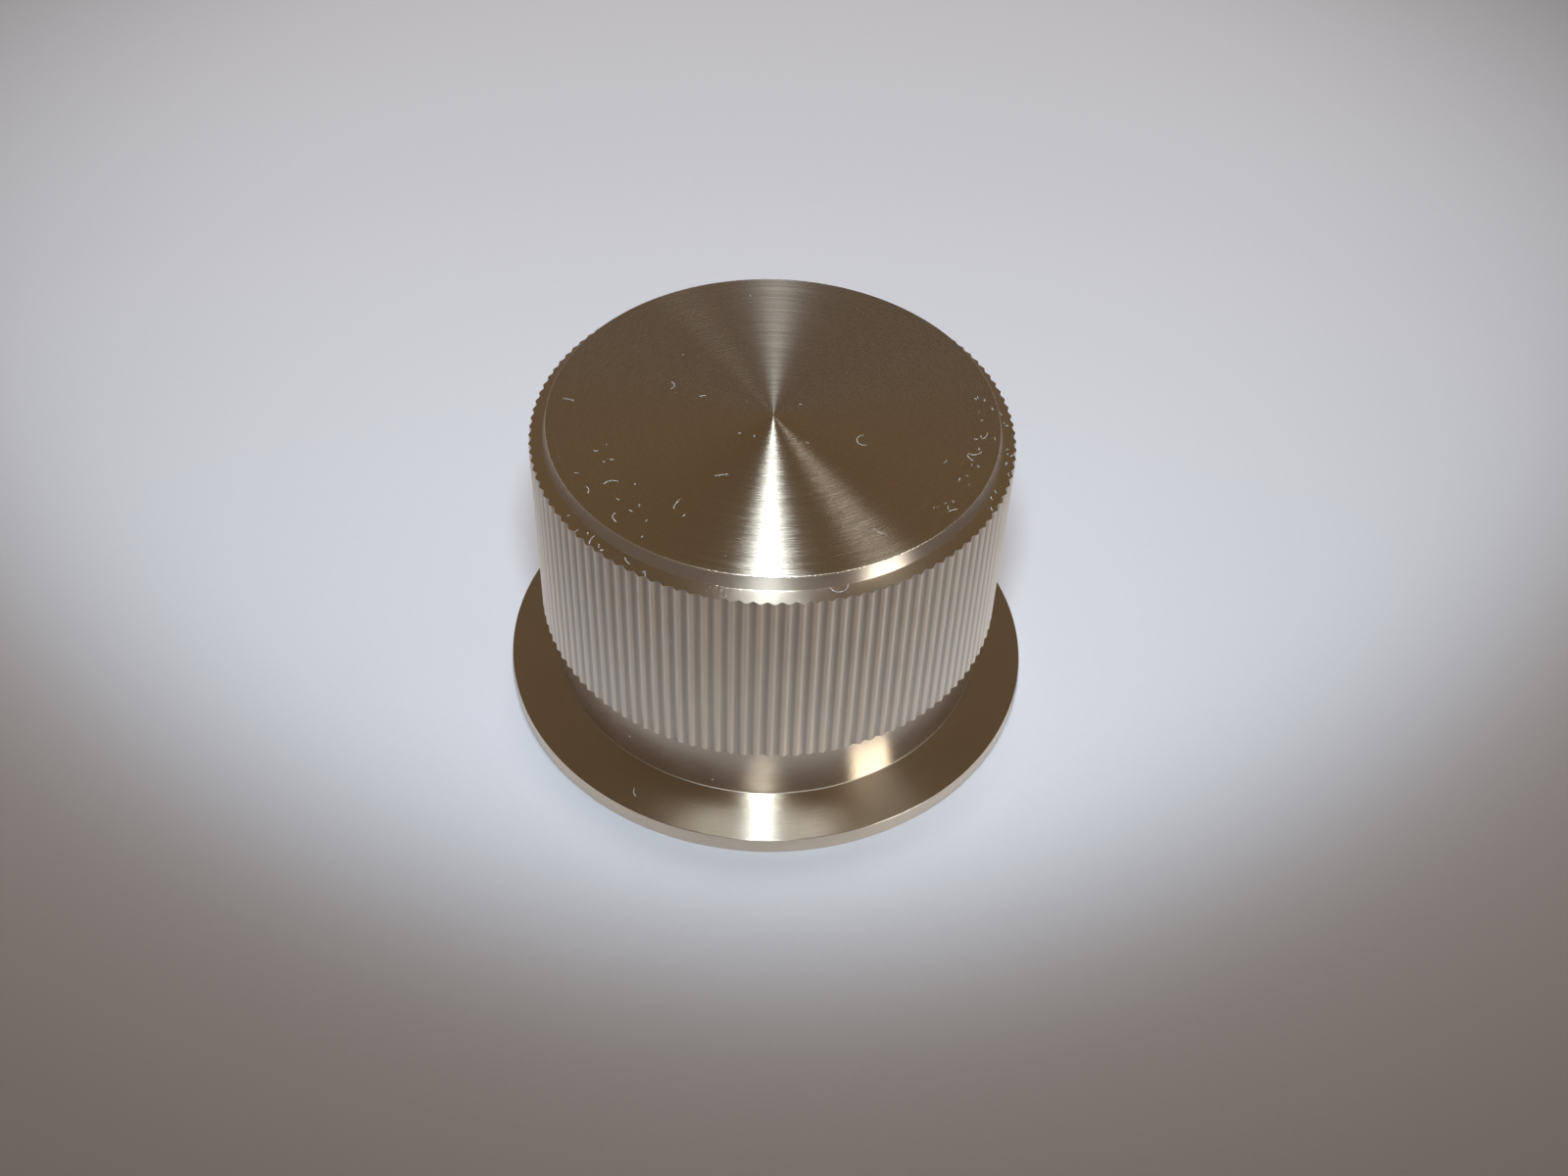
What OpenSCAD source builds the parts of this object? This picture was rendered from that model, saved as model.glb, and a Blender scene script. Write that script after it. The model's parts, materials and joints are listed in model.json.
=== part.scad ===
// Tuning knob: a fluted grip on a flanged base, turned from one piece, with a grub screw that
// clamps it on a round shaft. Millimetres, +Z up the shaft axis, origin under the flange.

/* [Grip] */
// Diameter over the tips of the flutes
grip_d = 38; // [32:0.5:50]
// Length of the flutes
grip_h = 17; // [10:0.5:30]
// Number of flutes around the grip
flute_count = 116; // [60:1:140]
// Depth of a flute, from its tip to its root
flute_depth = 0.2; // [0.1:0.02:0.5]
// Width of the flat left on the tip of a flute
flute_tip_w = 0.1; // [0.04:0.02:0.3]

/* [Crown] */
// Width of the serrated land between the flute tips and the foot of the crown
land_w = 1.1; // [0.7:0.1:3]
// Drop of the land, from the foot of the crown down to the flute tips
land_drop = 0.3; // [0.1:0.05:1]
// Height of the crown above its foot
crown_h = 1.2; // [0.6:0.1:4]
// Distance that the side of the crown leans in
crown_lean = 0.25; // [0.1:0.05:1.5]
// Edge break around the top of the crown
crown_edge = 0.15; // [0.05:0.05:0.4]

/* [Neck and flange] */
// Distance that the neck is set in from the flute tips
neck_inset = 1; // [0.7:0.1:3]
// Height of the neck
neck_h = 5.8; // [5:0.1:12]
// Fillet in the corner between the neck and the flange
neck_fillet = 0.1; // [0.05:0.05:0.6]
// Distance that the flange reaches out past the flute tips
flange_reach = 3; // [1:0.1:8]
// Drop of the top of the flange, from the neck out to its rim
flange_drop = 1; // [0.3:0.1:2]
// Thickness of the flange at its rim
rim_t = 1.5; // [1:0.1:4]

/* [Underside] */
// Diameter of the recess that clears the panel nut
recess_d = 20; // [14:0.5:26]
// Depth of the recess
recess_depth = 2.5; // [1:0.1:2.8]
// Diameter of the shaft
shaft_d = 6; // [4:0.05:8]
// Clearance around the shaft, on the radius
shaft_clearance = 0.05; // [0.02:0.01:0.1]
// Chamfer at the mouth of the shaft bore
bore_chamfer = 0.4; // [0.1:0.1:1]
// Metal left above the straight wall of the shaft bore
cap_t = 9; // [4:0.5:12]
// Angle of the drill point at the end of the shaft bore
drill_angle = 118; // [90:1:140]

/* [Grub screw] */
// Diameter of the grub screw
screw_d = 4; // [3:0.5:5]
// Length of the grub screw
screw_l = 8; // [4:0.5:12]
// Width of its hexagon socket, across the flats
socket_w = 2; // [1.3:0.1:2.2]
// Depth of the socket
socket_depth = 2.5; // [1:0.1:3]
// Chamfer at each end of the grub screw
screw_chamfer = 0.5; // [0.2:0.05:0.7]
// Depth of the cup in its point
cup_depth = 0.6; // [0.2:0.05:1]
// Width of the flat rim around the cup
cup_rim = 0.2; // [0.1:0.05:0.4]
// Clearance around the grub screw in its tapped hole, on the radius
screw_clearance = 0.02; // [0.01:0.01:0.05]
// Distance that the point is backed off from the shaft bore
screw_backoff = 0.3; // [0.1:0.05:1]

/* [Hidden] */
$fn = 128;
// Length that a cut or a blank runs past the surface it meets
overrun = 0.5;
fillet_steps = 6;

grip_r = grip_d / 2;
root_r = grip_r - flute_depth;
blank_r = grip_r + overrun;
foot_r = grip_r - land_w;
crown_r = foot_r - crown_lean;
neck_r = grip_r - neck_inset;
flange_r = grip_r + flange_reach;
bore_r = shaft_d / 2 + shaft_clearance;

neck_z = rim_t + flange_drop;
grip_z = neck_z + neck_h;
land_z = grip_z + grip_h;
foot_z = land_z + land_drop;
top_z = foot_z + crown_h;
bore_end_z = top_z - cap_t;
screw_z = neck_z + neck_h / 2;
screw_point_y = bore_r + screw_backoff;

land_slope = land_drop / land_w;
flute_step = 360 / flute_count;
tip_half_angle = asin(flute_tip_w / grip_d);
flange_slope = atan2(flange_drop, flange_r - neck_r);
fillet_z = neck_z + neck_fillet * (1 / cos(flange_slope) - tan(flange_slope));

function polar(r, angle) = [r * cos(angle), r * sin(angle)];

// One flute, as radius and angle: its root, then the two corners of the tip after it
flute_corners = [
    [root_r, 0],
    [grip_r, flute_step / 2 - tip_half_angle],
    [grip_r, flute_step / 2 + tip_half_angle]
];
flute_outline = [
    for (i = [0 : flute_count - 1], corner = flute_corners)
        polar(corner[0], i * flute_step + corner[1])
];

// Arc from the top of the flange up into the side of the neck
neck_arc = [
    for (i = [0 : fillet_steps])
        [neck_r + neck_fillet, fillet_z]
            + polar(neck_fillet, 270 - flange_slope - i / fillet_steps * (90 - flange_slope))
];

// Half section of the blank before the flutes are cut
blank_section = concat(
    [[0, 0], [flange_r, 0], [flange_r, rim_t]],
    neck_arc,
    [
        [neck_r, grip_z],
        [blank_r, grip_z],
        [blank_r, land_z - land_slope * overrun],
        [foot_r, foot_z],
        [crown_r, top_z - crown_edge],
        [crown_r - crown_edge, top_z],
        [0, top_z]
    ]
);

module along_screw(y) {
    translate([0, y, screw_z]) rotate([-90, 0, 0]) children();
}

// Ring that takes away all that lies outside the flutes
module flute_cutter() {
    translate([0, 0, grip_z - overrun]) difference() {
        cylinder(r = blank_r + overrun, h = grip_h + land_drop + 2 * overrun);
        translate([0, 0, -overrun]) linear_extrude(grip_h + land_drop + 4 * overrun) polygon(flute_outline);
    }
}

module shaft_hole() {
    translate([0, 0, -overrun]) cylinder(d = recess_d, h = recess_depth + overrun);
    translate([0, 0, recess_depth]) cylinder(r1 = bore_r + bore_chamfer, r2 = bore_r, h = bore_chamfer);
    cylinder(r = bore_r, h = bore_end_z);
    translate([0, 0, bore_end_z]) cylinder(r1 = bore_r, r2 = 0, h = bore_r / tan(drill_angle / 2));
}

module tapped_hole() {
    along_screw(0) cylinder(d = screw_d + 2 * screw_clearance, h = neck_r + overrun);
}

module knob_body() {
    color("#a8957a") difference() {
        rotate_extrude() polygon(blank_section);
        flute_cutter();
        shaft_hole();
        tapped_hole();
    }
}

module grub_screw() {
    end_d = screw_d - 2 * screw_chamfer;
    cup_d = end_d - 2 * cup_rim;
    color("#3c3c40") along_screw(screw_point_y) difference() {
        union() {
            cylinder(d1 = end_d, d2 = screw_d, h = screw_chamfer);
            translate([0, 0, screw_chamfer]) cylinder(d = screw_d, h = screw_l - 2 * screw_chamfer);
            translate([0, 0, screw_l - screw_chamfer]) cylinder(d1 = screw_d, d2 = end_d, h = screw_chamfer);
        }
        cylinder(d1 = cup_d, d2 = 0, h = cup_depth);
        translate([0, 0, -overrun]) cylinder(d = cup_d, h = overrun);
        translate([0, 0, screw_l - socket_depth])
            cylinder(d = socket_w / cos(30), h = socket_depth + overrun, $fn = 6);
    }
}

knob_body();
grub_screw();
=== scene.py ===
"""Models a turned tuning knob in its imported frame, with its grub screw, its lint and its table."""
import json
import math
import random

import bpy
from mathutils import Matrix, Vector


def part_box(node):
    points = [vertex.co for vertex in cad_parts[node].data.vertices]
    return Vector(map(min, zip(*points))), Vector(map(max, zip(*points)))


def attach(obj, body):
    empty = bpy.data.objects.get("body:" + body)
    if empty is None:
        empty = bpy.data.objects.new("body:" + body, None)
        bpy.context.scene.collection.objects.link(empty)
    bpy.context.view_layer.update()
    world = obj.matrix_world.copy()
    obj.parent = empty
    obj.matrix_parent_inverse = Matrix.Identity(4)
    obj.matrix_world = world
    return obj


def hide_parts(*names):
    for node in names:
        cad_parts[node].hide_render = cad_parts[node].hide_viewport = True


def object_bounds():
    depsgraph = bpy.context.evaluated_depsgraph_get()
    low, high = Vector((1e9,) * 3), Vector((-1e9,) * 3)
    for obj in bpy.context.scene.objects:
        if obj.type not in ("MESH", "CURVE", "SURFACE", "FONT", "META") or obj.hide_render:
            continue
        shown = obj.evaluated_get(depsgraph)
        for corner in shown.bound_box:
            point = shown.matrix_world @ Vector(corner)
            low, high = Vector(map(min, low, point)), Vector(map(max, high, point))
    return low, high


bl_info = {
    "name": "Tuning Knob",
    "version": (1, 0, 0),
    "blender": (4, 5, 0),
    "location": "View3D > Sidebar > Knob",
    "description": "Models a turned and fluted tuning knob, its finish and its stage",
    "category": "Add Mesh",
}

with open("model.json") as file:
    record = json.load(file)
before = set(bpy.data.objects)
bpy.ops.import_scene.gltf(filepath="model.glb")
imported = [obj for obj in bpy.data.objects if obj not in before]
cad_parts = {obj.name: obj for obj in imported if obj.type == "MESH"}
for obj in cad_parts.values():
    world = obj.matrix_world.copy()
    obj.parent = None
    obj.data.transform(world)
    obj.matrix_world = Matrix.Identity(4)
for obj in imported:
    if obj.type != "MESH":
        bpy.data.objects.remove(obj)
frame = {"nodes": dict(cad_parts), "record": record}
CAD_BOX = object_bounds()
MOUNTS = {mount["name"]: mount for mount in frame["record"]["mounts"]}
RECESS = MOUNTS["nut_recess"]["dims"]
BORE = MOUNTS["shaft_bore"]["dims"]
SCREW_LOW, SCREW_HIGH = (Vector(corner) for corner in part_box("grub_screw"))
MM = 0.001
STEPS_PER_MM = 100
ROUNDING_SLACK = 0.01


def to_millimetres(metres):
    """Rounds a length of the frame down to a hundredth of a millimetre."""
    return math.floor(metres / MM * STEPS_PER_MM + ROUNDING_SLACK) / STEPS_PER_MM


# Flange diameter, knob height and thickness of a fibre of lint, in millimetres
FLANGE_D = to_millimetres(-2 * CAD_BOX[0][0])
KNOB_H = to_millimetres(CAD_BOX[1][2])
FIBRE_T = 0.04


def length(name, description, millimetres):
    """A length property with its default in millimetres."""
    return bpy.props.FloatProperty(
        name=name, description=description, default=millimetres * MM, min=0.0, unit="LENGTH", precision=5
    )


def colour(name, description, rgb):
    """A colour property."""
    return bpy.props.FloatVectorProperty(
        name=name, description=description, default=rgb, subtype="COLOR", min=0.0, max=1.0, size=3
    )


def angle(name, description, degrees):
    """An angle property with its default in degrees."""
    return bpy.props.FloatProperty(
        name=name, description=description, default=math.radians(degrees), subtype="ANGLE"
    )


def power(name, description, watts):
    """A property for the power of a lamp."""
    return bpy.props.FloatProperty(name=name, description=description, default=watts, min=0.0, unit="POWER")


def share(name, description, part):
    """A property that goes from nothing, 0, to all, 1."""
    return bpy.props.FloatProperty(
        name=name, description=description, default=part, min=0.0, max=1.0, subtype="FACTOR"
    )


class KnobSizes(bpy.types.PropertyGroup):
    """Sizes of the knob's section, as it is turned."""

    grip_d: length("Grip diameter", "Diameter over the tips of the flutes", 38.0)
    grip_h: length("Grip height", "Length of the flutes", 17.0)
    flute_count: bpy.props.IntProperty(name="Flutes", description="Number of flutes", default=116, min=12)
    flute_depth: length("Flute depth", "Depth of a flute from its tip to its root", 0.2)
    land_w: length("Land width", "Width of the serrated land", 1.1)
    land_drop: length("Land drop", "Drop of the land towards the flute tips", 0.3)
    crown_lean: length("Crown lean", "Distance that the side of the crown leans in", 0.25)
    crown_edge: length("Crown edge", "Rounding of the crown's top edge", 0.08)
    foot_fillet: length("Foot fillet", "Fillet at the foot of the crown", 0.08)
    neck_inset: length("Neck inset", "Distance that the neck is set in from the flute tips", 1.0)
    neck_h: length("Neck height", "Height of the neck", 5.8)
    neck_fillet: length("Neck fillet", "Fillet between the neck and the flange", 0.1)
    flange_d: length("Flange diameter", "Diameter of the flange", FLANGE_D)
    flange_drop: length("Flange drop", "Drop of the flange from the neck to its rim", 1.0)
    rim_t: length("Rim thickness", "Thickness of the flange at its rim", 1.5)
    rim_edge: length("Rim edge", "Rounding of the flange's edges", 0.04)
    knob_h: length("Knob height", "Height of the knob under its lint", KNOB_H - FIBRE_T)
    recess_r: length("Recess radius", "Radius of the nut recess", RECESS["r_mm"])
    recess_depth: length("Recess depth", "Depth of the nut recess", RECESS["length_mm"])
    bore_r: length("Bore radius", "Radius of the shaft bore", BORE["r_mm"])
    bore_l: length("Bore length", "Length of the bore's straight wall", BORE["length_mm"])
    bore_chamfer: length("Bore chamfer", "Chamfer at the mouth of the bore", 0.4)
    drill_point: length("Drill point", "Height of the cone at the end of the bore", 1.83)
    screw_clearance: length("Screw clearance", "Clearance around the grub screw", 0.02)


class KnobLint(bpy.types.PropertyGroup):
    """Fibres of lint that lie on the knob."""

    width: length("Fibre width", "Width of a fibre", 0.06)
    thickness: length("Fibre thickness", "Thickness of a fibre", FIBRE_T)
    seed: bpy.props.IntProperty(name="Seed", description="Seed of the scattered flecks", default=4)


class KnobColours(bpy.types.PropertyGroup):
    """Colours of the knob's finishes, of the paper and of the lamps."""

    champagne: colour("Champagne", "Tint of the turned aluminium", (0.695, 0.58, 0.46))
    flute_tint: colour("Flutes", "Tint of the satin flutes", (0.61, 0.515, 0.42))
    side_tint: colour("Sides", "Tint of the turned neck and crown", (0.62, 0.525, 0.43))
    # The champagne metal darkened for the flange: painted shade for its dimmer reflection
    flange_shaded_tint: colour("Flange", "Tint of the flange", (0.6, 0.505, 0.4))
    # Darker tint of the fillet where the neck meets the flange: painted shade in that corner
    corner: colour("Corner", "Tint of the corner at the foot of the neck", (0.34, 0.28, 0.22))
    steel: colour("Screw steel", "Blackened steel of the grub screw", (0.06, 0.06, 0.065))
    lint: colour("Lint", "Pale fibres of lint", (0.5, 0.48, 0.46))
    paper: colour("Paper", "Pale paper under the knob", (0.785, 0.77, 0.8))
    daylight: colour("Daylight", "Tint of the side lamp", (0.9, 0.97, 1.0))
    sky: colour("Sky", "Tint of the wide overhead lamp", (0.45, 0.65, 1.0))
    flash: colour("Flash", "Tint of the lamp over the camera", (0.7, 0.86, 1.0))


class KnobStage(bpy.types.PropertyGroup):
    """Camera, floor and lamps."""

    camera_back: length("Camera distance", "Distance of the camera in front of the knob's axis", 109.88)
    camera_up: length("Camera height", "Height of the camera above the table", 120.15)
    camera_pitch: angle("Camera pitch", "Angle that the camera looks down", 45.68)
    camera_yaw: angle("Camera yaw", "Angle that the camera looks to the right", 0.7)
    camera_roll: angle("Camera roll", "Angle that the camera is tilted", 2.28)
    camera_lens: bpy.props.FloatProperty(
        name="Lens", description="Focal length on a 36 mm sensor", default=42.49, unit="CAMERA"
    )
    floor_size: length("Floor size", "Width of the table", 6000.0)
    key_power: power("Key power", "Watts of the lamp over the camera", 0.66)
    key_away: length("Key distance", "Distance of the lamp over the camera", 165.0)
    key_rise: angle("Key elevation", "Elevation of the lamp over the camera", 60.0)
    key_radius: length("Key radius", "Radius of the lamp over the camera", 10.0)
    key_beam: angle("Key beam", "Beam angle of the lamp over the camera", 60.0)
    key_blend: share("Key blend", "Softness of the edge of the key beam", 0.4)
    key_aim: length("Key aim", "Distance behind the knob's axis that the lamp over the camera aims at", 74.0)
    pool_power: power("Pool power", "Watts of the lamp over the paper", 2.5)
    pool_up: length("Pool height", "Height of the lamp over the paper", 400.0)
    pool_back: length("Pool offset", "Distance of the lamp over the paper behind the knob's axis", 78.0)
    pool_radius: length("Pool radius", "Radius of the lamp over the paper", 40.0)
    pool_beam: angle("Pool beam", "Beam angle of the lamp over the paper", 37.0)
    pool_blend: share("Pool blend", "Softness of the edge of the pool beam", 0.7)
    fill_power: power("Fill power", "Watts of the wide overhead lamp", 0.6)
    fill_up: length("Fill height", "Height of the wide overhead lamp", 1200.0)
    fill_w: length("Fill width", "Width of the wide overhead lamp, both ways", 800.0)
    side_power: power("Side power", "Watts of the side lamp", 1.2)
    side_away: length("Side distance", "Distance of the side lamp", 500.0)
    side_turn: angle("Side azimuth", "Direction of the side lamp from the X axis", -39.0)
    side_rise: angle("Side elevation", "Elevation of the side lamp", 15.0)
    side_w: length("Side width", "Width of the side lamp", 150.0)
    side_h: length("Side height", "Height of the side lamp", 260.0)


def sizes():
    """The knob's size properties."""
    return bpy.context.scene.knob_sizes


def colours():
    """The knob's colour properties."""
    return bpy.context.scene.knob_colours


# Modelling helpers

SEGMENTS_PER_FLUTE = 10
ARC_STEPS = 5
HOLE_SIDES = 64
MERGE_DISTANCE = 0.001 * MM
SHARP_EDGE = math.radians(20.0)
# Distance from the end of an arc to the point that holds the next face flat
HOLD = 0.03 * MM
# Tolerances for finding points and faces by their place, a wide one and a fine one
NEAR = 0.02 * MM
HAIR = NEAR / 10
# Part of the neck's fillet that has a finish of its own, whose darker tint is painted shade in the corner
# between the neck and the flange
FILLET_SHARE = 0.8


def start_mode(mode):
    """Switches the active object to a mode."""
    bpy.ops.object.mode_set(mode=mode)


def deselect_objects():
    """Goes to object mode and deselects everything."""
    if bpy.context.object and bpy.context.object.mode != "OBJECT":
        start_mode("OBJECT")
    bpy.ops.object.select_all(action="DESELECT")


def select_vertices(obj, wanted):
    """Selects the vertices of an object in edit mode for which wanted(co) is true."""
    start_mode("OBJECT")
    mesh = obj.data
    for group in (mesh.polygons, mesh.edges):
        for item in group:
            item.select = False
    for vertex in mesh.vertices:
        vertex.select = wanted(vertex.co)
    start_mode("EDIT")
    bpy.ops.mesh.select_mode(type="VERT")


def select_faces(obj, wanted):
    """Selects the faces of an object in edit mode for which wanted(centre) is true."""
    start_mode("EDIT")
    bpy.ops.mesh.select_mode(type="FACE")
    bpy.ops.mesh.select_all(action="DESELECT")
    start_mode("OBJECT")
    for polygon in obj.data.polygons:
        polygon.select = wanted(polygon.center)
    start_mode("EDIT")


def radius_of(point):
    """Distance of a point from the knob's axis."""
    return math.hypot(point.x, point.y)


def rounded(corners):
    """Points of a section whose corners are (radius, height, rounding): each rounding becomes an arc.

    A point close to each end of an arc holds the faces beside it flat when they are shaded smooth.
    """
    points = [Vector(corners[0][:2])]
    for before, here, after in zip(corners, corners[1:], corners[2:]):
        corner = Vector(here[:2])
        rounding = here[2]
        if rounding == 0.0:
            points.append(corner)
            continue
        back = (Vector(before[:2]) - corner).normalized()
        ahead = (Vector(after[:2]) - corner).normalized()
        half_turn = back.angle(ahead) / 2
        set_back = rounding / math.tan(half_turn)
        start = corner + back * set_back
        centre = corner + (back + ahead).normalized() * rounding / math.sin(half_turn)
        sweep = math.pi - 2 * half_turn
        spoke = start - centre
        sign = math.copysign(1.0, back.y * ahead.x - back.x * ahead.y)
        points.append(corner + back * (set_back + HOLD))
        for step in range(ARC_STEPS + 1):
            points.append(centre + Matrix.Rotation(sign * sweep * step / ARC_STEPS, 2) @ spoke)
        points.append(corner + ahead * (set_back + HOLD))
    points.append(Vector(corners[-1][:2]))
    return points


def section_heights(s):
    """Heights of the knob's shoulders, from the table up."""
    neck_z = s.rim_t + s.flange_drop
    grip_z = neck_z + s.neck_h
    land_z = grip_z + s.grip_h
    return neck_z, grip_z, land_z, land_z + s.land_drop


def outer_section(s):
    """Half section of the knob, from the middle of the crown round to the end of the shaft bore."""
    neck_z, grip_z, land_z, foot_z = section_heights(s)
    grip_r = s.grip_d / 2
    foot_r = grip_r - s.land_w
    neck_r = grip_r - s.neck_inset
    flange_r = s.flange_d / 2
    bore_mouth_z = s.recess_depth + s.bore_chamfer
    return rounded([
        (0.0, s.knob_h, 0.0),
        (foot_r - s.crown_lean, s.knob_h, s.crown_edge),
        (foot_r, foot_z, s.foot_fillet),
        (grip_r, land_z, 0.0),
        (grip_r, grip_z, 0.0),
        (neck_r, grip_z, 0.0),
        (neck_r, neck_z, s.neck_fillet),
        (flange_r, s.rim_t, s.rim_edge),
        (flange_r, 0.0, s.rim_edge),
        (s.recess_r, 0.0, 0.0),
        (s.recess_r, s.recess_depth, 0.0),
        (s.bore_r + s.bore_chamfer, s.recess_depth, 0.0),
        (s.bore_r, bore_mouth_z, 0.0),
        (s.bore_r, bore_mouth_z + s.bore_l, 0.0),
        (0.0, bore_mouth_z + s.bore_l + s.drill_point, 0.0),
    ])


def turn_section(name, points, segments):
    """Turns a section that starts and ends on the axis: a disc, then one extruded ring for each point."""
    deselect_objects()
    first = points[1]
    bpy.ops.mesh.primitive_circle_add(
        vertices=segments, radius=first.x, fill_type="TRIFAN", location=(0.0, 0.0, points[0].y),
        rotation=(0.0, 0.0, math.pi / segments),
    )
    obj = bpy.context.object
    obj.name = name
    bpy.ops.object.transform_apply(location=True, rotation=True, scale=True)
    select_vertices(obj, lambda co: radius_of(co) > first.x / 2)
    bpy.ops.mesh.select_mode(type="EDGE")
    bpy.ops.mesh.region_to_loop()
    for before, here in zip(points[1:], points[2:-1]):
        bpy.ops.mesh.extrude_edges_move(TRANSFORM_OT_translate={"value": (0.0, 0.0, here.y - before.y)})
        ratio = here.x / before.x
        bpy.ops.transform.resize(value=(ratio, ratio, 1.0), center_override=(0.0, 0.0, here.y))
    last_rise = points[-1].y - points[-2].y
    bpy.ops.mesh.extrude_edges_move(TRANSFORM_OT_translate={"value": (0.0, 0.0, last_rise)})
    bpy.ops.mesh.merge(type="CENTER")
    start_mode("OBJECT")
    return obj


def cut_flutes(obj, s):
    """Presses the rings at both ends of the grip into flutes with flat roots and flat tips.

    The middle of a root lies where the angle is 0.
    """
    _, grip_z, land_z, _ = section_heights(s)
    grip_r = s.grip_d / 2
    segment = 2 * math.pi / (s.flute_count * SEGMENTS_PER_FLUTE)
    slope = s.land_drop / s.land_w
    flank_steps = SEGMENTS_PER_FLUTE // 2 - 1

    def on_ring(co, ring_z):
        return abs(co.z - ring_z) < NEAR and abs(radius_of(co) - grip_r) < NEAR

    def step_of(co):
        step = math.floor(math.atan2(co.y, co.x) / segment) % SEGMENTS_PER_FLUTE
        return min(step, SEGMENTS_PER_FLUTE - 1 - step)

    for ring_z, ring_slope in ((land_z, slope), (grip_z, 0.0)):
        for step in range(flank_steps):
            drop = s.flute_depth * (1.0 - step / flank_steps)
            select_vertices(obj, lambda co: on_ring(co, ring_z) and step_of(co) == step)
            ratio = (grip_r - drop) / grip_r
            bpy.ops.transform.resize(value=(ratio, ratio, 1.0), center_override=(0.0, 0.0, ring_z))
            bpy.ops.transform.translate(value=(0.0, 0.0, drop * ring_slope))
    start_mode("OBJECT")


def drill_screw_hole(obj, s):
    """Drills the grub screw's hole from the shaft bore out through the rear of the neck."""
    centre = (SCREW_LOW + SCREW_HIGH) / 2
    hole_r = (SCREW_HIGH.z - SCREW_LOW.z) / 2 + s.screw_clearance
    reach = s.grip_d / 2
    deselect_objects()
    bpy.ops.mesh.primitive_cylinder_add(
        vertices=HOLE_SIDES, radius=hole_r, depth=reach,
        location=(0.0, reach / 2, centre.z), rotation=(math.pi / 2, 0.0, 0.0),
    )
    drill = bpy.context.object
    bpy.ops.object.transform_apply(location=True, rotation=True, scale=True)
    deselect_objects()
    bpy.context.view_layer.objects.active = obj
    obj.select_set(True)
    cut = obj.modifiers.new("screw_hole", "BOOLEAN")
    cut.operation = "DIFFERENCE"
    cut.solver = "EXACT"
    cut.object = drill
    bpy.ops.object.modifier_apply(modifier=cut.name)
    bpy.data.objects.remove(drill)


def assign_finishes(obj, finishes):
    """Gives the object one material slot for each finish, and each finish the faces that it covers."""
    for slot, (material, covers) in enumerate(finishes):
        obj.data.materials.append(material)
        select_faces(obj, covers)
        obj.active_material_index = slot
        bpy.ops.object.material_slot_assign()
    start_mode("OBJECT")


# Lint

FIBRE_SIDES = 6
FIBRE_STEPS = 8
FIBRE_END = 0.4
FIBRE_SHADING = math.radians(60.0)
SEAT_HEIGHTS = (0.1, 0.9)
FLECK_LENGTHS = (0.1, 0.4)
FLECK_TURNS = (-180.0, 180.0)
FLECK_CURLS = (-120.0, 120.0)

# Seat, radius, azimuth, length, turn and curl of each fibre, in millimetres and degrees
LAID_FIBRES = (
    ("crown", 16.0, 176, 1.0, -10, 20), ("crown", 8.5, 158, 1.1, -70, 130),
    ("crown", 6.0, 160, 0.6, 35, 60), ("crown", 14.5, -146, 1.3, -15, 90),
    ("crown", 16.3, -146, 0.9, 70, -100), ("crown", 16.6, -134, 0.9, 45, 120),
    ("crown", 12.5, -124, 1.2, 10, 40), ("crown", 8.0, -118, 1.1, -50, 10),
    ("crown", 7.0, -23, 2.0, -55, 190), ("crown", 16.0, -14, 1.3, 30, 110),
    ("crown", 15.6, -16, 0.8, -40, 40), ("crown", 14.0, -20, 0.5, 80, 20),
    ("crown", 16.5, -6, 0.9, 65, 60), ("crown", 16.8, -37, 0.8, 60, -50),
    ("crown", 15.0, -58, 1.3, 25, 20), ("land", 18.4, -74, 3.2, 80, 250),
    ("land", 18.4, -124, 0.8, 70, 70), ("land", 18.5, -135, 0.9, 20, 60),
    ("grip", 19.0, -112, 0.9, 10, 60), ("grip", 19.0, -86, 0.4, 40, 30),
    ("flange", 20.6, -120, 0.9, 40, 90),
)

# Seat, number, radii and azimuths of the scattered flecks, in millimetres and degrees
SCATTERED_FLECKS = (
    ("crown", 20, (15.6, 17.3), (-42, 15)), ("crown", 12, (13.0, 17.2), (-165, -115)),
    ("crown", 12, (2.0, 17.0), (-180, 180)), ("land", 14, (18.1, 18.7), (-35, 10)),
    ("land", 8, (18.1, 18.7), (-145, -110)), ("neck", 3, (18.0, 18.0), (-130, -95)),
)


def fibre_pattern(width, thickness):
    """A straight flat fibre one millimetre long, with thin ends: a short hexagonal rod, extruded."""
    step = MM / FIBRE_STEPS
    half = MM / 2
    deselect_objects()
    bpy.ops.mesh.primitive_cylinder_add(
        vertices=FIBRE_SIDES, radius=width / 2, depth=step,
        location=((step - MM) / 2, 0.0, 0.0), rotation=(0.0, math.pi / 2, 0.0),
    )
    fibre = bpy.context.object
    bpy.ops.object.transform_apply(location=True, rotation=True, scale=True)
    select_faces(fibre, lambda c: c.x > step - half - HAIR)
    for _ in range(FIBRE_STEPS - 1):
        bpy.ops.mesh.extrude_region_move(TRANSFORM_OT_translate={"value": (step, 0.0, 0.0)})
    select_vertices(fibre, lambda co: abs(co.x) > half - step / 2)
    bpy.ops.transform.resize(value=(1.0, FIBRE_END, FIBRE_END), center_override=(0.0, 0.0, 0.0))
    bpy.ops.mesh.select_all(action="SELECT")
    bpy.ops.transform.resize(value=(1.0, 1.0, thickness / width), center_override=(0.0, 0.0, 0.0))
    bpy.ops.mesh.normals_make_consistent(inside=False)
    start_mode("OBJECT")
    return fibre


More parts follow.
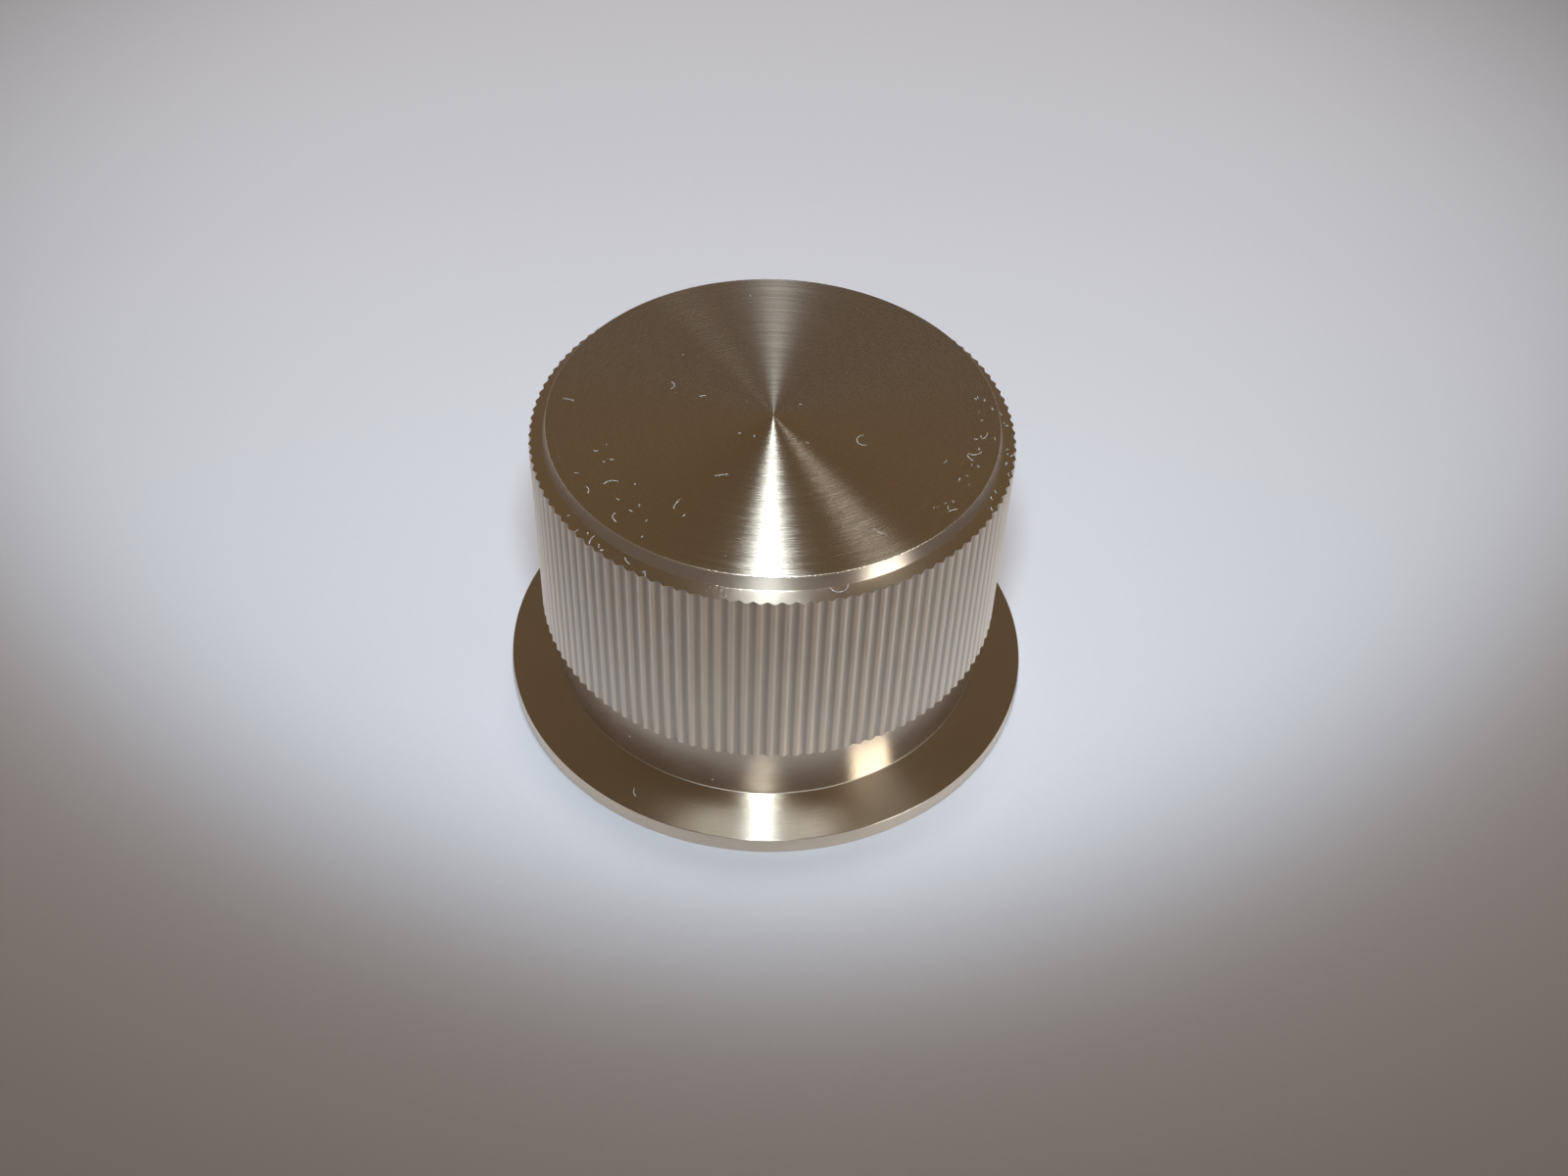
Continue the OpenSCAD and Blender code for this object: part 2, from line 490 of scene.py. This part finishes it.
def fibre_seat(s, seat, radius, azimuth, height):
    """Frame of a point of the knob's surface, with its Z axis out of the surface."""
    neck_z, grip_z, _, foot_z = section_heights(s)
    neck_r = s.grip_d / 2 - s.neck_inset
    foot_r = s.grip_d / 2 - s.land_w
    land_lean = math.atan2(s.land_drop, s.land_w)
    flange_lean = math.atan2(s.flange_drop, s.flange_d / 2 - neck_r)
    z, lean = {
        "crown": (s.knob_h, 0.0),
        "land": (foot_z - (radius - foot_r) * math.tan(land_lean), land_lean),
        "grip": (grip_z + height * s.grip_h, math.pi / 2),
        "neck": (neck_z + height * s.neck_h, math.pi / 2),
        "flange": (neck_z - (radius - neck_r) * math.tan(flange_lean), flange_lean),
    }[seat]
    return (
        Matrix.Rotation(azimuth, 4, "Z")
        @ Matrix.Translation((radius, 0.0, z))
        @ Matrix.Rotation(lean, 4, "Y")
    )


def lay_fibre(pattern, place, lift, length_mm, turn, curl):
    """Copies the pattern at a length, curls it and lays it on its seat."""
    deselect_objects()
    bpy.context.view_layer.objects.active = pattern
    pattern.select_set(True)
    bpy.ops.object.duplicate(linked=False)
    fibre = bpy.context.object
    fibre.scale.x = length_mm
    bpy.ops.object.transform_apply(location=True, rotation=True, scale=True)
    bend = fibre.modifiers.new("curl", "SIMPLE_DEFORM")
    bend.deform_method = "BEND"
    bend.deform_axis = "Z"
    bend.angle = curl
    bpy.ops.object.modifier_apply(modifier=bend.name)
    fibre.matrix_world = place @ Matrix.Translation((0.0, 0.0, lift)) @ Matrix.Rotation(turn, 4, "Z")
    bpy.ops.object.transform_apply(location=True, rotation=True, scale=True)
    return fibre


# Materials

QUARTER_TURN = 0.25
NOISE_MIDDLE = 0.5
HORIZON = (0.55, 0.55, 0.57)
# The paper's glow starts at the near distance from its middle, and is full from the far one on
PAPER_MIDDLE = (0.0, 40.0 * MM, 0.0)
NEAR_PAPER = 150.0 * MM
FAR_PAPER = 270.0 * MM
FAR_GLOW = 0.6


class Shader:
    """A material under construction: its node tree, its surface shader and short ways to add nodes."""

    def __init__(self, name):
        self.material = bpy.data.materials.new(name)
        self.material.use_nodes = True
        self.tree = self.material.node_tree
        self.surface = self.tree.nodes["Principled BSDF"]

    def node(self, kind, **settings):
        """Adds a node and sets its properties."""
        node = self.tree.nodes.new(kind)
        for key, value in settings.items():
            setattr(node, key, value)
        return node

    def link(self, source, target):
        """Links two sockets."""
        self.tree.links.new(source, target)

    def set_surface(self, socket, value):
        """Sets a socket of the surface that is the same all over."""
        self.surface.inputs[socket].default_value = value

    def calculate(self, operation, first, second):
        """A Math node whose inputs are sockets or numbers."""
        node = self.node("ShaderNodeMath", operation=operation)
        for socket, value in zip(node.inputs, (first, second)):
            if isinstance(value, (int, float)):
                socket.default_value = value
            else:
                self.link(value, socket)
        return node.outputs[0]

    def object_position(self):
        """The point's place in the object's own frame."""
        return self.node("ShaderNodeTexCoord").outputs["Object"]

    def axis_distance(self):
        """Distance of the point from the knob's axis, and the level vector from the axis to it."""
        flat = self.node("ShaderNodeVectorMath", operation="MULTIPLY")
        flat.inputs[1].default_value = (1.0, 1.0, 0.0)
        self.link(self.object_position(), flat.inputs[0])
        distance = self.node("ShaderNodeVectorMath", operation="LENGTH")
        self.link(flat.outputs[0], distance.inputs[0])
        return distance.outputs["Value"], flat.outputs[0]

    def noise(self, vector, spacing, detail=2.0, roughness=0.5):
        """Noise that changes every so far in all directions."""
        node = self.node("ShaderNodeTexNoise")
        node.inputs["Scale"].default_value = 1.0 / spacing
        node.inputs["Detail"].default_value = detail
        node.inputs["Roughness"].default_value = roughness
        self.link(vector, node.inputs["Vector"])
        return node.outputs["Fac"]

    def ring_noise(self, distance, flat, spacing, turns, detail=2.0):
        """Noise drawn out around the axis: it changes every so far outwards, and a few times in a turn."""
        direction = self.node("ShaderNodeVectorMath", operation="NORMALIZE")
        self.link(flat, direction.inputs[0])
        around = self.node("ShaderNodeVectorMath", operation="SCALE")
        around.inputs["Scale"].default_value = turns
        self.link(direction.outputs[0], around.inputs[0])
        outward = self.node("ShaderNodeCombineXYZ")
        self.link(self.calculate("DIVIDE", distance, spacing), outward.inputs["Z"])
        place = self.node("ShaderNodeVectorMath", operation="ADD")
        self.link(around.outputs[0], place.inputs[0])
        self.link(outward.outputs[0], place.inputs[1])
        return self.noise(place.outputs[0], spacing=1.0, detail=detail)

    def line_noise(self, along, spacing, detail=3.0):
        """Noise that changes along one length only, such as from one turned line to the next."""
        node = self.node("ShaderNodeTexNoise", noise_dimensions="1D")
        node.inputs["Scale"].default_value = 1.0 / spacing
        node.inputs["Detail"].default_value = detail
        self.link(along, node.inputs["W"])
        return node.outputs["Fac"]

    def ridges(self, pattern, height):
        """Heights of what stands above the middle of a noise."""
        return self.calculate("MULTIPLY", self.calculate("MAXIMUM", pattern, NOISE_MIDDLE), height)

    def remap(self, value, low, high, source_low=0.0, source_high=1.0):
        """Maps a value from one range to another."""
        node = self.node("ShaderNodeMapRange")
        node.inputs["From Min"].default_value = source_low
        node.inputs["From Max"].default_value = source_high
        node.inputs["To Min"].default_value = low
        node.inputs["To Max"].default_value = high
        self.link(value, node.inputs["Value"])
        return node.outputs["Result"]

    def bump(self, height):
        """Turns a pattern of heights in metres into the surface's normal."""
        node = self.node("ShaderNodeBump")
        node.inputs["Distance"].default_value = 1.0
        self.link(height, node.inputs["Height"])
        self.link(node.outputs["Normal"], self.surface.inputs["Normal"])

    def tint(self, rgb, value, spread):
        """Colours the surface, lighter and darker by a pattern."""
        node = self.node("ShaderNodeMix", data_type="RGBA")
        low, high = (tuple(min(1.0, c * k) for c in rgb) + (1.0,) for k in (1.0 - spread, 1.0 + spread))
        sockets = [socket for socket in node.inputs if socket.type == "RGBA"]
        sockets[0].default_value = low
        sockets[1].default_value = high
        self.link(value, node.inputs["Factor"])
        out = next(socket for socket in node.outputs if socket.type == "RGBA")
        self.link(out, self.surface.inputs["Base Color"])

    def metal(
        self, rgb, pattern, roughness, anisotropy=0.0, gloss_spread=0.1, tint_spread=0.04, tint_pattern=None
    ):
        """Sets a metal surface whose gloss follows a pattern, and its tint the same one or another.

        The gloss spreads across the turned lines.
        """
        self.set_surface("Metallic", 1.0)
        self.set_surface("Anisotropic", anisotropy)
        self.set_surface("Anisotropic Rotation", QUARTER_TURN)
        tangent = self.node("ShaderNodeTangent", direction_type="RADIAL", axis="Z")
        self.link(tangent.outputs["Tangent"], self.surface.inputs["Tangent"])
        glossy = roughness * (1.0 - gloss_spread)
        dull = roughness * (1.0 + gloss_spread)
        self.link(self.remap(pattern, glossy, dull), self.surface.inputs["Roughness"])
        self.tint(rgb, pattern if tint_pattern is None else tint_pattern, tint_spread)


def faced_top(name, rgb):
    """Metal faced on a lathe: long fine tool lines that lean outwards, some glossier than others."""
    line_lean = math.radians(19.0)
    line_spacing = 0.12 * MM
    line_height = 0.03 * MM
    streak_spacing = 0.14 * MM
    shader = Shader(name)
    distance, flat = shader.axis_distance()
    lean = shader.calculate("MULTIPLY", distance, -math.tan(line_lean))
    lines = shader.ring_noise(distance, flat, line_spacing, turns=1.0, detail=3.0)
    shader.bump(shader.calculate("ADD", lean, shader.calculate("MULTIPLY", lines, line_height)))
    streaks = shader.ring_noise(distance, flat, streak_spacing, turns=1.5, detail=3.0)
    shader.metal(rgb, streaks, roughness=0.27, anisotropy=1.0, gloss_spread=0.2, tint_spread=0.06)
    return shader.material


def turned_cone(name, rgb, roughness, anisotropy, line_height, speckle_height):
    """Metal turned to a smooth cone: fine lines around the axis under a speckle of small marks."""
    line_spacing = 0.12 * MM
    speckle_spacing = 0.15 * MM
    streak_spacing = 2.0 * MM
    shader = Shader(name)
    distance, flat = shader.axis_distance()
    lines = shader.ridges(shader.line_noise(distance, line_spacing, detail=2.0), line_height)
    speckle = shader.ridges(shader.noise(shader.object_position(), speckle_spacing), speckle_height)
    shader.bump(shader.calculate("ADD", lines, speckle))
    streaks = shader.ring_noise(distance, flat, streak_spacing, turns=4.0)
    shader.metal(rgb, streaks, roughness, anisotropy)
    return shader.material


def turned_side(name, rgb, roughness, anisotropy):
    """Metal turned smooth on its side: mirror-like round the axis, blurred along it by fine lines."""
    line_spacing = 0.15 * MM
    line_height = 0.002 * MM
    patch_spacing = 3.0 * MM
    shader = Shader(name)
    position = shader.object_position()
    split = shader.node("ShaderNodeSeparateXYZ")
    shader.link(position, split.inputs[0])
    lines = shader.line_noise(split.outputs["Z"], line_spacing)
    shader.bump(shader.calculate("MULTIPLY", lines, line_height))
    shader.metal(rgb, shader.noise(position, patch_spacing, detail=3.0), roughness, anisotropy)
    return shader.material


def broken_edge(name, rgb, roughness):
    """Metal rubbed along an edge: dull and speckled all round."""
    mark_spacing = 0.25 * MM
    mark_height = 0.03 * MM
    shader = Shader(name)
    marks = shader.noise(shader.object_position(), mark_spacing, detail=3.0)
    shader.bump(shader.calculate("MULTIPLY", marks, mark_height))
    shader.metal(rgb, marks, roughness, gloss_spread=0.3)
    return shader.material


def satin_flutes(name, rgb, root_r, tip_r):
    """Metal cut along the axis: satin under a clear gloss, a little patchy, with painted shade that darkens
    it towards the roots.
    """
    grain_spacing = 0.12 * MM
    grain_height = 0.003 * MM
    patch_spacing = 2.5 * MM
    patch_share = 0.2
    root_shade_share = 0.8
    rise = tip_r - root_r
    # Painted shade in the flute grooves: the tint is darkest up to the first radius and steps up to light at
    # the second
    darkest_r = root_r + 0.35 * rise
    lightest_r = root_r + 0.65 * rise
    shader = Shader(name)
    position = shader.object_position()
    grain = shader.noise(position, grain_spacing, detail=3.0, roughness=0.6)
    shader.bump(shader.calculate("MULTIPLY", grain, grain_height))
    patches = shader.noise(position, patch_spacing, detail=4.0)
    distance, _ = shader.axis_distance()
    # Painted shade: a ramp from dark near the flute roots to light towards the tips
    depth = shader.remap(distance, 0.0, 1.0, darkest_r, lightest_r)
    painted_root_shade = shader.calculate("MULTIPLY", depth, root_shade_share)
    patch_shade = shader.calculate("MULTIPLY", patches, patch_share)
    # Mixes the painted root shade with the random patches; together they set the tint between its dark and
    # light ends
    shade = shader.calculate("ADD", painted_root_shade, patch_shade)
    shader.metal(rgb, patches, roughness=0.48, tint_spread=0.27, tint_pattern=shade)
    shader.set_surface("Coat Weight", 1.0)
    shader.set_surface("Coat Roughness", 0.33)
    shader.set_surface("Coat IOR", 1.6)
    return shader.material


def plain_metal(name, rgb, roughness):
    """Machined metal where little shows: a dull cut face with a fine grain."""
    grain_spacing = 0.3 * MM
    grain_height = 0.003 * MM
    shader = Shader(name)
    grain = shader.noise(shader.object_position(), grain_spacing, detail=3.0)
    shader.bump(shader.calculate("MULTIPLY", grain, grain_height))
    shader.metal(rgb, grain, roughness, anisotropy=0.3)
    return shader.material


def lint_fibre(name, rgb):
    """Pale dusty fibre, lighter and darker along its length."""
    shade_spacing = 0.4 * MM
    shader = Shader(name)
    shader.set_surface("Roughness", 0.8)
    shader.tint(rgb, shader.noise(shader.object_position(), shade_spacing), spread=0.4)
    return shader.material


def paper_sheet(name, rgb):
    """Pale paper with a faint tooth, that fades to the horizon far from the knob."""
    tooth_spacing = 0.6 * MM
    tooth_height = 0.02 * MM
    shader = Shader(name)
    position = shader.object_position()
    tooth = shader.noise(position, tooth_spacing, detail=4.0, roughness=0.6)
    shader.bump(shader.calculate("MULTIPLY", tooth, tooth_height))
    shader.set_surface("Roughness", 0.9)
    shader.set_surface("Specular IOR Level", 0.0)
    shader.tint(rgb, tooth, spread=0.02)
    away = shader.node("ShaderNodeVectorMath", operation="DISTANCE")
    away.inputs[1].default_value = PAPER_MIDDLE
    shader.link(position, away.inputs[0])
    ray = shader.node("ShaderNodeLightPath")
    seen = shader.calculate("MAXIMUM", ray.outputs["Is Camera Ray"], ray.outputs["Is Glossy Ray"])
    seen = shader.calculate("MAXIMUM", seen, ray.outputs["Is Transmission Ray"])
    glow = shader.remap(away.outputs["Value"], 0.0, FAR_GLOW, NEAR_PAPER, FAR_PAPER)
    shader.link(shader.calculate("MULTIPLY", seen, glow), shader.surface.inputs["Emission Strength"])
    shader.set_surface("Emission Color", HORIZON + (1.0,))
    return shader.material


# Lamps and room

# Height and colour of each stop of the room's light, from the horizon to straight overhead
ROOM_LIGHT = (
    (0.0, HORIZON),
    (0.06, (0.34, 0.32, 0.31)),
    (0.14, (0.13, 0.1, 0.08)),
    (0.6, (0.165, 0.122, 0.075)),
    (1.0, (0.125, 0.092, 0.057)),
)
OVERHEAD = math.pi / 2
FLOOR_GAP = 0.02 * MM


def hang_spot(name, place, aim, beam, blend):
    """Hangs a round lamp that throws a beam with a soft edge at a point."""
    bpy.ops.object.light_add(type="SPOT", location=place)
    lamp = bpy.context.object
    lamp.name = name
    lamp.rotation_euler = (place - aim).to_track_quat("Z", "Y").to_euler()
    lamp.data.spot_size = beam
    lamp.data.spot_blend = blend
    return lamp


def hang_lamp(name, distance, turn, rise, size):
    """Hangs a soft lamp that faces the middle of the knob, at a distance, azimuth and elevation from it."""
    away = Vector((math.cos(rise) * math.cos(turn), math.cos(rise) * math.sin(turn), math.sin(rise)))
    bpy.ops.object.light_add(type="AREA", location=away * distance + Vector((0.0, 0.0, KNOB_H * MM / 2)))
    lamp = bpy.context.object
    lamp.name = name
    lamp.rotation_euler = away.to_track_quat("Z", "Y").to_euler()
    lamp.data.shape = "RECTANGLE"
    lamp.data.size, lamp.data.size_y = size
    return lamp


def light_room():
    """Fills the room with a dim warm light, pale at the horizon."""
    world = bpy.data.worlds.new("room")
    world.use_nodes = True
    bpy.context.scene.world = world
    tree = world.node_tree
    place = tree.nodes.new("ShaderNodeTexCoord")
    split = tree.nodes.new("ShaderNodeSeparateXYZ")
    ramp = tree.nodes.new("ShaderNodeValToRGB")
    tree.links.new(place.outputs["Generated"], split.inputs[0])
    tree.links.new(split.outputs["Z"], ramp.inputs["Fac"])
    tree.links.new(ramp.outputs["Color"], tree.nodes["Background"].inputs["Color"])
    elements = ramp.color_ramp.elements
    elements[0].position = ROOM_LIGHT[0][0]
    elements[1].position = ROOM_LIGHT[-1][0]
    for height, _ in ROOM_LIGHT[1:-1]:
        elements.new(height)
    for element, (_, rgb) in zip(elements, ROOM_LIGHT):
        element.color = rgb + (1.0,)


# Operators, one for each piece and one for the stage


class KNOB_OT_turn_body(bpy.types.Operator):
    """Turns the knob's body, cuts its flutes and drills it"""

    bl_idname = "knob.turn_body"
    bl_label = "Knob Body"

    def execute(self, context):
        s = sizes()
        tints = colours()
        body = turn_section("turned_body", outer_section(s), s.flute_count * SEGMENTS_PER_FLUTE)
        cut_flutes(body, s)
        start_mode("EDIT")
        bpy.ops.mesh.select_all(action="SELECT")
        bpy.ops.mesh.remove_doubles(threshold=MERGE_DISTANCE)
        bpy.ops.mesh.normals_make_consistent(inside=False)
        start_mode("OBJECT")
        drill_screw_hole(body, s)
        neck_z, grip_z, land_z, foot_z = section_heights(s)
        grip_r = s.grip_d / 2
        foot_r = grip_r - s.land_w
        crown_r = foot_r - s.crown_lean
        neck_r = grip_r - s.neck_inset
        root_r = grip_r - s.flute_depth
        rim_r = s.flange_d / 2 - s.rim_edge
        fillet = s.neck_fillet * FILLET_SHARE

        def on_top(c):
            return c.z > s.knob_h - HAIR and radius_of(c) < crown_r

        def on_crown(c):
            return c.z > foot_z

        def on_crown_edge(c):
            return c.z > s.knob_h - s.crown_edge and radius_of(c) > crown_r - s.crown_edge

        def on_neck(c):
            return neck_z < c.z < grip_z - NEAR and radius_of(c) > neck_r - NEAR

        def on_neck_fillet(c):
            return s.rim_t < c.z < neck_z + fillet and neck_r + HAIR < radius_of(c) < neck_r + fillet

        def on_land(c):
            return land_z < c.z < foot_z and radius_of(c) > foot_r

        def on_flutes(c):
            return grip_z + NEAR < c.z < land_z + NEAR and radius_of(c) > root_r - NEAR

        def on_flange(c):
            return s.rim_t - NEAR < c.z < neck_z and radius_of(c) > neck_r + NEAR

        def on_rim(c):
            return radius_of(c) > rim_r and c.z < s.rim_t

        cut_metal = plain_metal("cut_aluminium", tints.champagne, roughness=0.4)
        neck_metal = turned_side("turned_neck", tints.side_tint, roughness=0.24, anisotropy=0.9)
        crown_metal = turned_side("turned_crown", tints.side_tint, roughness=0.36, anisotropy=1.0)
        rim_metal = turned_side("turned_rim", tints.champagne, roughness=0.3, anisotropy=0.6)
        land_metal = turned_cone(
            "turned_land", tints.champagne, roughness=0.3, anisotropy=0.9,
            line_height=0.001 * MM, speckle_height=0.022 * MM,
        )
        # The flange's tint is the champagne darkened by painted shade
        flange_metal = turned_cone(
            "turned_flange", tints.flange_shaded_tint, roughness=0.22, anisotropy=1.0,
            line_height=0.014 * MM, speckle_height=0.001 * MM,
        )
        assign_finishes(body, [
            (cut_metal, lambda c: True),
            (neck_metal, on_neck),
            (crown_metal, on_crown),
            (broken_edge("crown_edge", tints.champagne, roughness=0.28), on_crown_edge),
            (faced_top("faced_top", tints.champagne), on_top),
            (land_metal, on_land),
            (satin_flutes("satin_flutes", tints.flute_tint, root_r, grip_r), on_flutes),
            (flange_metal, on_flange),
            # The neck's fillet takes the dark corner tint: painted shade where the neck meets the flange
            (broken_edge("neck_fillet", tints.corner, roughness=0.4), on_neck_fillet),
            (rim_metal, on_rim),
        ])
        bpy.ops.object.shade_smooth_by_angle(angle=SHARP_EDGE)
        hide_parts("knob_body")
        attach(body, "root")
        return {"FINISHED"}


class KNOB_OT_finish_screw(bpy.types.Operator):
    """Gives the grub screw its blackened finish"""

    bl_idname = "knob.finish_screw"
    bl_label = "Grub Screw"

    def execute(self, context):
        screw = frame["nodes"]["grub_screw"]
        screw.data.materials.clear()
        screw.data.materials.append(plain_metal("blackened_steel", colours().steel, roughness=0.45))
        return {"FINISHED"}


class KNOB_OT_lay_lint(bpy.types.Operator):
    """Lays fibres and flecks of lint on the crown, the land, the grip, the neck and the flange"""

    bl_idname = "knob.lay_lint"
    bl_label = "Lint"

    def execute(self, context):
        s = sizes()
        lint = context.scene.knob_lint
        chance = random.Random(lint.seed)
        fibres = list(LAID_FIBRES)
        for seat, count, radii, azimuths in SCATTERED_FLECKS:
            for _ in range(count):
                fibres.append((
                    seat, chance.uniform(*radii), chance.uniform(*azimuths), chance.uniform(*FLECK_LENGTHS),
                    chance.uniform(*FLECK_TURNS), chance.uniform(*FLECK_CURLS),
                ))
        pattern = fibre_pattern(lint.width, lint.thickness)
        lift = lint.thickness / 2
        laid = []
        for seat, radius, azimuth, length_mm, turn, curl in fibres:
            height = chance.uniform(*SEAT_HEIGHTS)
            place = fibre_seat(s, seat, radius * MM, math.radians(azimuth), height)
            laid.append(lay_fibre(pattern, place, lift, length_mm, math.radians(turn), math.radians(curl)))
        bpy.data.objects.remove(pattern)
        deselect_objects()
        for fibre in laid:
            fibre.select_set(True)
        context.view_layer.objects.active = laid[0]
        bpy.ops.object.join()
        piece = context.object
        piece.name = "lint"
        piece.data.materials.append(lint_fibre("lint_fibre", colours().lint))
        bpy.ops.object.shade_smooth_by_angle(angle=FIBRE_SHADING)
        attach(piece, "root")
        return {"FINISHED"}


class KNOB_OT_set_stage(bpy.types.Operator):
    """Lays the paper, hangs the lamps and sets the camera"""

    bl_idname = "knob.set_stage"
    bl_label = "Stage"

    def execute(self, context):
        stage = context.scene.knob_stage
        tints = colours()
        deselect_objects()
        bpy.ops.mesh.primitive_plane_add(size=stage.floor_size, location=(0.0, 0.0, -FLOOR_GAP))
        floor = context.object
        floor.name = "paper"
        bpy.ops.object.transform_apply(location=True, rotation=True, scale=True)
        floor.data.materials.append(paper_sheet("pale_paper", tints.paper))

        key_place = Vector((0.0, -math.cos(stage.key_rise), math.sin(stage.key_rise))) * stage.key_away
        key_aim = Vector((0.0, stage.key_aim, 0.0))
        key = hang_spot("key_lamp", key_place, key_aim, stage.key_beam, stage.key_blend)
        key.data.energy = stage.key_power
        key.data.shadow_soft_size = stage.key_radius
        key.data.color = tints.flash
        pool_aim = Vector((0.0, stage.pool_back, 0.0))
        pool_place = pool_aim + Vector((0.0, 0.0, stage.pool_up))
        pool = hang_spot("pool_lamp", pool_place, pool_aim, stage.pool_beam, stage.pool_blend)
        pool.data.energy = stage.pool_power
        pool.data.shadow_soft_size = stage.pool_radius
        pool.visible_glossy = False
        side_size = (stage.side_w, stage.side_h)
        side = hang_lamp("side_lamp", stage.side_away, stage.side_turn, stage.side_rise, side_size)
        side.data.energy = stage.side_power
        side.data.color = tints.daylight
        side.visible_diffuse = False
        fill_size = (stage.fill_w, stage.fill_w)
        fill = hang_lamp("fill_lamp", stage.fill_up, 0.0, OVERHEAD, fill_size)
        fill.data.energy = stage.fill_power
        fill.data.color = tints.sky
        fill.visible_glossy = False
        light_room()

        bpy.ops.object.camera_add(location=(0.0, -stage.camera_back, stage.camera_up))
        camera = context.object
        turn = (
            Matrix.Rotation(-stage.camera_yaw, 3, "Z")
            @ Matrix.Rotation(math.pi / 2 - stage.camera_pitch, 3, "X")
            @ Matrix.Rotation(stage.camera_roll, 3, "Z")
        )
        camera.rotation_euler = turn.to_euler()
        camera.data.lens = stage.camera_lens
        camera.data.clip_start = MM
        context.scene.camera = camera
        context.scene.view_settings.view_transform = "Standard"
        return {"FINISHED"}


class KNOB_PT_panel(bpy.types.Panel):
    """The knob's pieces and stage"""

    bl_idname = "KNOB_PT_panel"
    bl_label = "Tuning Knob"
    bl_space_type = "VIEW_3D"
    bl_region_type = "UI"
    bl_category = "Knob"

    def draw(self, context):
        for operator in OPERATORS:
            self.layout.operator(operator.bl_idname)


OPERATORS = (KNOB_OT_turn_body, KNOB_OT_finish_screw, KNOB_OT_lay_lint, KNOB_OT_set_stage)
CLASSES = (KnobSizes, KnobLint, KnobColours, KnobStage, *OPERATORS, KNOB_PT_panel)


def register():
    """Registers the classes and the scene's properties."""
    for cls in CLASSES:
        bpy.utils.register_class(cls)
    bpy.types.Scene.knob_sizes = bpy.props.PointerProperty(type=KnobSizes)
    bpy.types.Scene.knob_lint = bpy.props.PointerProperty(type=KnobLint)
    bpy.types.Scene.knob_colours = bpy.props.PointerProperty(type=KnobColours)
    bpy.types.Scene.knob_stage = bpy.props.PointerProperty(type=KnobStage)


def unregister():
    """Removes the scene's properties and the classes."""
    del bpy.types.Scene.knob_sizes
    del bpy.types.Scene.knob_lint
    del bpy.types.Scene.knob_colours
    del bpy.types.Scene.knob_stage
    for cls in reversed(CLASSES):
        bpy.utils.unregister_class(cls)


def main():
    """Makes every piece and the stage."""
    register()
    bpy.ops.knob.turn_body()
    bpy.ops.knob.finish_screw()
    bpy.ops.knob.lay_lint()
    bpy.ops.knob.set_stage()


if __name__ == "__main__":
    main()
